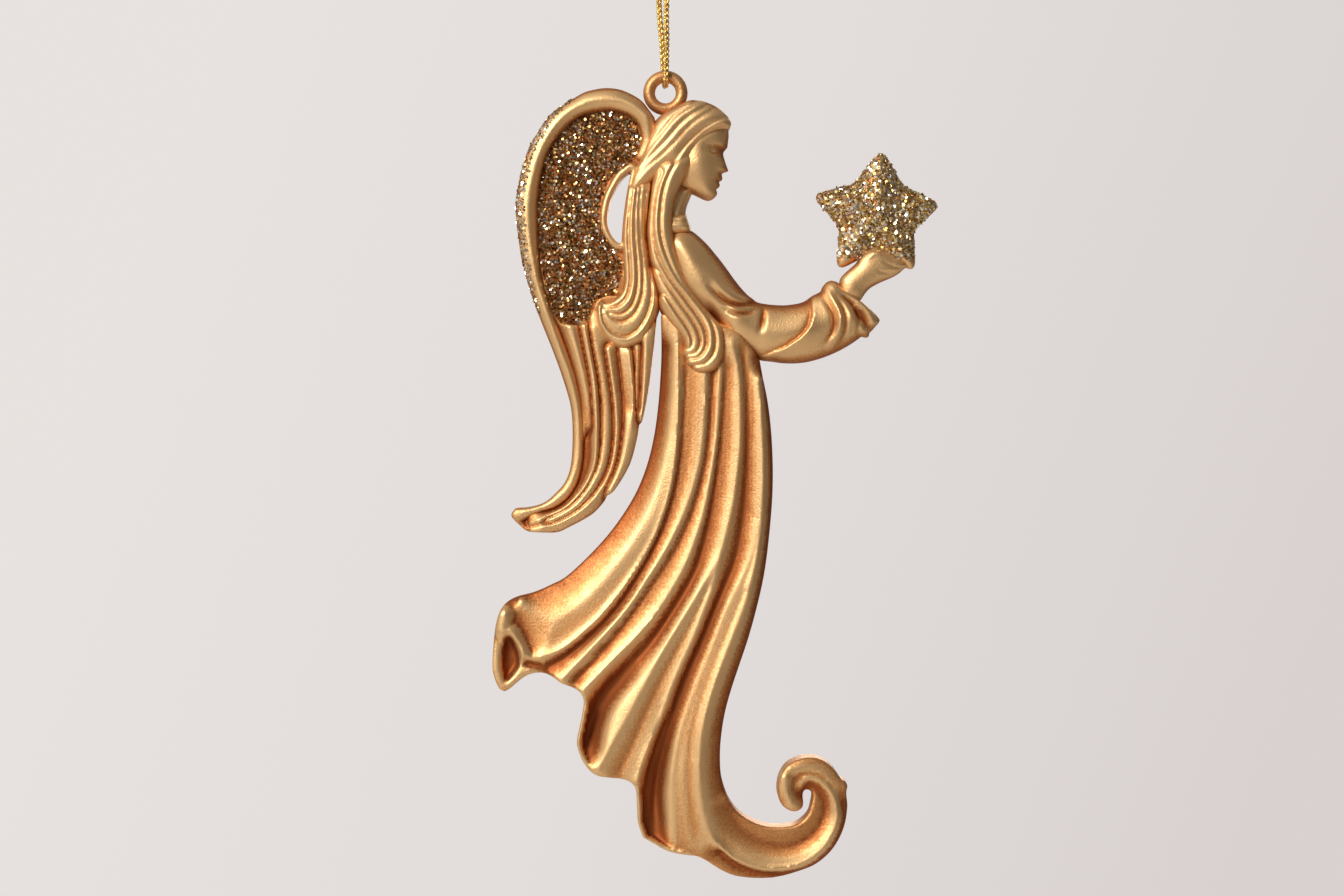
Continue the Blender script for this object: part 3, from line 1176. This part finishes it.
def cord_knot():
    """The knot with the cord's two cut ends standing in it."""
    lines = [knot_line()]
    for way in (-1, 1):
        foot = (way * 0.3, way * 0.5, KNOT_Z - 0.2)
        middle = (way * 0.55, way * 0.35, KNOT_Z + 1.5)
        tip = (way * 0.95, way * 0.1, TAIL_TOP - 0.45)
        lines.append(curve_3d(np.array([foot, middle, tip])))
    vertices, faces = joined([braid(line, pitch=2.6) for line in lines])
    return new_mesh("knot_of_the_cord", vertices, faces, HANGER, "cord", ["cord_knot"])


def curve_3d(points):
    """A smooth line through three points in space."""
    steps = np.linspace(0, 1, 40)[:, None]
    first, middle, last = points
    control = 2 * middle - 0.5 * (first + last)
    return (1 - steps) ** 2 * first + 2 * steps * (1 - steps) * control + steps**2 * last


# ---------------------------------------------------------------- materials
def material(name, colour, metal, rough):
    """A new material and its main shader."""
    made = bpy.data.materials.new(name)
    made.use_nodes = True
    shader = made.node_tree.nodes["Principled BSDF"]
    shader.inputs["Base Color"].default_value = (*colour, 1)
    shader.inputs["Metallic"].default_value = metal
    shader.inputs["Roughness"].default_value = rough
    return made, shader


def add(tree, kind):
    """A new node of a shader tree."""
    return tree.nodes.new("ShaderNode" + kind)


def link(tree, source, output, target, socket):
    tree.links.new(source.outputs[output], target.inputs[socket])


def noise(tree, scale, detail):
    node = add(tree, "TexNoise")
    node.inputs["Scale"].default_value = scale
    node.inputs["Detail"].default_value = detail
    where = tree.nodes.get("Places") or add(tree, "TexCoord")
    where.name = "Places"
    link(tree, where, "Object", node, "Vector")
    return node


def ramp(tree, stops):
    node = add(tree, "ValToRGB")
    while len(node.color_ramp.elements) < len(stops):
        node.color_ramp.elements.new(0.5)
    for element, (place, colour) in zip(node.color_ramp.elements, stops):
        element.position = place
        element.color = (*colour, 1)
    return node


def attribute(tree, name):
    node = add(tree, "Attribute")
    node.attribute_name = name
    return node


def scaled(tree, value, factor, offset):
    """A node that gives value * factor + offset."""
    return math_node(tree, "MULTIPLY_ADD", value, factor, offset)


def math_node(tree, operation, *values):
    node = add(tree, "Math")
    node.operation = operation
    for socket, value in zip(node.inputs, values):
        if isinstance(value, (int, float)):
            socket.default_value = value
        else:
            tree.links.new(value, socket)
    return node.outputs[0]


def bump_node(tree, height, distance, strength):
    node = add(tree, "Bump")
    node.inputs["Distance"].default_value = distance
    node.inputs["Strength"].default_value = strength
    tree.links.new(height, node.inputs["Height"])
    return node


# Linear colours. A list of tones gives each colour's place on its ramp.
CREST, MIDDLE, CREVICE = (0.82, 0.52, 0.245), (0.66, 0.31, 0.108), (0.36, 0.10, 0.025)
THREAD_TONES = [(0.25, (0.45, 0.24, 0.05)), (0.5, (0.85, 0.56, 0.17)), (0.75, (1.0, 0.80, 0.40))]
SILVER, PALE, CHAMPAGNE = (0.90, 0.86, 0.80), (0.90, 0.72, 0.42), (0.62, 0.38, 0.13)
BRONZE, OLIVE = (0.20, 0.09, 0.03), (0.42, 0.25, 0.07)
WING_TONES = [(0.0, BRONZE), (0.5, CHAMPAGNE), (0.75, PALE), (0.95, SILVER)]
STAR_TONES = [(0.0, OLIVE), (0.2, (0.90, 0.60, 0.18)), (0.5, (1.0, 0.80, 0.44)), (0.9, (1.0, 0.94, 0.86))]
EDGE_TONES = [(0.0, CHAMPAGNE), (0.3, (0.80, 0.66, 0.42)), (0.7, (0.88, 0.80, 0.64)), (1.0, SILVER)]


def gold_paint():
    """Satin gold paint: darker and redder in the creases, worn pale on the crests, finely speckled."""
    made, shader = material("gold_paint", MIDDLE, 0.85, 0.4)
    tree = made.node_tree
    hollow = attribute(tree, "hollow")
    mottle = noise(tree, 420, 4)
    fine = noise(tree, 3200, 2)
    place = scaled(tree, hollow.outputs["Fac"], 1.35, 0.4)
    for grain, strength in ((mottle, 0.16), (fine, 0.6)):
        speckle = scaled(tree, grain.outputs["Fac"], strength, -0.5 * strength)
        place = math_node(tree, "ADD", place, speckle)
    colours = ramp(tree, [(0.12, CREST), (0.42, MIDDLE), (0.9, CREVICE)])
    tree.links.new(place, colours.inputs["Fac"])
    link(tree, colours, "Color", shader, "Base Color")
    rough = scaled(tree, mottle.outputs["Fac"], 0.16, 0.42)
    rough = math_node(tree, "ADD", rough, math_node(tree, "MULTIPLY", place, 0.1))
    tree.links.new(rough, shader.inputs["Roughness"])
    grains = scaled(tree, mottle.outputs["Fac"], 0.8, fine.outputs["Fac"])
    bump = bump_node(tree, grains, 0.00009, 0.6)
    link(tree, bump, "Normal", shader, "Normal")
    return made


def glitter_material(name, stops, dull=0.14):
    """Foil flakes of several colours: tint picks the colour, shine the roughness."""
    made, shader = material(name, stops[-1][1], 1.0, 0.25)
    tree = made.node_tree
    tint = attribute(tree, "tint")
    colours = ramp(tree, stops)
    link(tree, tint, "Fac", colours, "Fac")
    grain = noise(tree, 3000, 2)
    mixed = add(tree, "MixRGB")
    mixed.blend_type = "MULTIPLY"
    mixed.inputs["Fac"].default_value = 0.35
    link(tree, colours, "Color", mixed, "Color1")
    link(tree, grain, "Fac", mixed, "Color2")
    link(tree, mixed, "Color", shader, "Base Color")
    shine = attribute(tree, "shine")
    rough = scaled(tree, shine.outputs["Fac"], 0.22, dull)
    tree.links.new(rough, shader.inputs["Roughness"])
    return made


def cord_material():
    """Metallic gold thread: fine lengthwise fibres with a bright sheen."""
    made, shader = material("gold_thread", (0.86, 0.58, 0.18), 0.9, 0.32)
    tree = made.node_tree
    fibres = noise(tree, 5200, 3)
    broad = noise(tree, 700, 2)
    colours = ramp(tree, THREAD_TONES)
    fine_part = math_node(tree, "MULTIPLY", fibres.outputs["Fac"], 0.6)
    blend = scaled(tree, broad.outputs["Fac"], 0.4, fine_part)
    tree.links.new(blend, colours.inputs["Fac"])
    link(tree, colours, "Color", shader, "Base Color")
    bump = bump_node(tree, fibres.outputs["Fac"], 0.00012, 0.8)
    link(tree, bump, "Normal", shader, "Normal")
    return made


def floor_material():
    made, shader = material("pale_floor", (0.78, 0.76, 0.74), 0.0, 0.7)
    tree = made.node_tree
    grain = noise(tree, 40, 4)
    colours = ramp(tree, [(0.3, (0.76, 0.74, 0.72)), (0.7, (0.8, 0.78, 0.76))])
    link(tree, grain, "Fac", colours, "Fac")
    link(tree, colours, "Color", shader, "Base Color")
    return made


def dress():
    """Give every shown piece its material."""
    gold, thread = gold_paint(), cord_material()
    on_wing = glitter_material("wing_glitter", WING_TONES)
    on_star = glitter_material("star_glitter", STAR_TONES, dull=0.24)
    on_edge = glitter_material("edge_glitter", EDGE_TONES)
    by_slot = {"figure": gold, "cord": thread, "wing_glitter": on_wing, "star_glitter": on_star}
    for piece in bpy.data.objects:
        if piece.type == "MESH" and piece.get("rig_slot") in by_slot:
            piece.data.materials.clear()
            on_wall = piece.name.startswith(("wing_edge", "wing_wall"))
            piece.data.materials.append(on_edge if on_wall else by_slot[piece["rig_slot"]])


# ---------------------------------------------------------------- studio
CAMERA_PLACE = (0.00114, -0.450, -0.0861)
CAMERA_LENS = 68.9
ROOM_TONES = [
    (0.1, (0.05, 0.038, 0.03)), (0.3, (0.12, 0.106, 0.092)),
    (0.55, (0.22, 0.212, 0.205)), (0.9, (0.42, 0.41, 0.40)),
]
WALL_TONES = [(0.2, (0.80, 0.762, 0.738)), (0.5, (0.765, 0.725, 0.708)), (0.85, (0.69, 0.64, 0.632))]
FLOOR_SIDES, FLOOR_REACH, FLOOR_LEVEL = 64, 0.6, -0.33


def camera():
    data = bpy.data.cameras.new("camera")
    data.lens = CAMERA_LENS
    data.sensor_width = 36
    data.clip_start = 0.01
    holder = put("camera", data)
    holder.location = CAMERA_PLACE
    holder.rotation_euler = (math.pi / 2, 0, 0)
    bpy.context.scene.camera = holder


def lamp(name, place, target, size, power, colour):
    data = bpy.data.lights.new(name, "AREA")
    data.shape = "RECTANGLE"
    data.size, data.size_y = size
    data.energy = power
    data.color = colour
    holder = put(name, data)
    holder.location = place
    holder.rotation_euler = (Vector(target) - Vector(place)).to_track_quat("-Z", "Y").to_euler()


def world():
    """A pale wall seen by the camera, and a warmer, darker room that lights and reflects."""
    made = bpy.data.worlds.new("studio")
    bpy.context.scene.world = made
    made.use_nodes = True
    tree = made.node_tree
    tree.nodes.clear()
    out = add(tree, "OutputWorld")
    seen, lighting = add(tree, "Background"), add(tree, "Background")
    seen.inputs["Strength"].default_value = 1.0
    where = add(tree, "TexCoord")
    split = add(tree, "SeparateXYZ")
    link(tree, where, "Generated", split, "Vector")
    slant = scaled(tree, split.outputs["Z"], 0.16, 0.5)
    slant = scaled(tree, split.outputs["X"], -0.12, slant)
    slant = scaled(tree, split.outputs["Y"], 0.28, slant)
    tones = ramp(tree, ROOM_TONES)
    tree.links.new(slant, tones.inputs["Fac"])
    across = scaled(tree, split.outputs["X"], 1.3, 0.5)
    across = scaled(tree, split.outputs["Z"], -0.5, across)
    wall = ramp(tree, WALL_TONES)
    tree.links.new(across, wall.inputs["Fac"])
    link(tree, wall, "Color", seen, "Color")
    link(tree, tones, "Color", lighting, "Color")
    lighting.inputs["Strength"].default_value = 1.0
    mix, path = add(tree, "MixShader"), add(tree, "LightPath")
    link(tree, path, "Is Camera Ray", mix, "Fac")
    tree.links.new(lighting.outputs[0], mix.inputs[1])
    tree.links.new(seen.outputs[0], mix.inputs[2])
    tree.links.new(mix.outputs[0], out.inputs["Surface"])


def studio():
    centre = (0.0, 0.0, -0.09)
    lamp("key", (-0.48, -0.62, 0.36), centre, (0.3, 0.3), 7.8, (1.0, 0.97, 0.93))
    lamp("back", (0.14, 0.88, 0.12), centre, (0.4, 0.4), 2.6, (1.0, 0.97, 0.94))
    lamp("side", (-0.9, -0.1, 0.1), centre, (0.4, 0.8), 0.5, (1.0, 0.95, 0.9))
    world()
    turns = [2 * math.pi * k / FLOOR_SIDES for k in range(FLOOR_SIDES)]
    ring = [(FLOOR_REACH * math.cos(turn), FLOOR_REACH * math.sin(turn), FLOOR_LEVEL) for turn in turns]
    mesh = bpy.data.meshes.new("floor")
    mesh.from_pydata(ring, [], [tuple(range(FLOOR_SIDES))])
    floor = put("floor", mesh)
    floor.data.materials.append(floor_material())


# ---------------------------------------------------------------- the whole
bpy.context.scene.view_settings.view_transform = "Standard"
camera()
braided, cord_line = hanging_cord()
knotted = cord_knot()
wing_rim()
wing_panel()
wing_feathers()
for sculpt in (
    hair_crown, hair_back_lock, hair_front_lock, head, neck, collar, hanging_eye, sleeve, hand, star, gown
):
    sculpt()
dress()
studio()
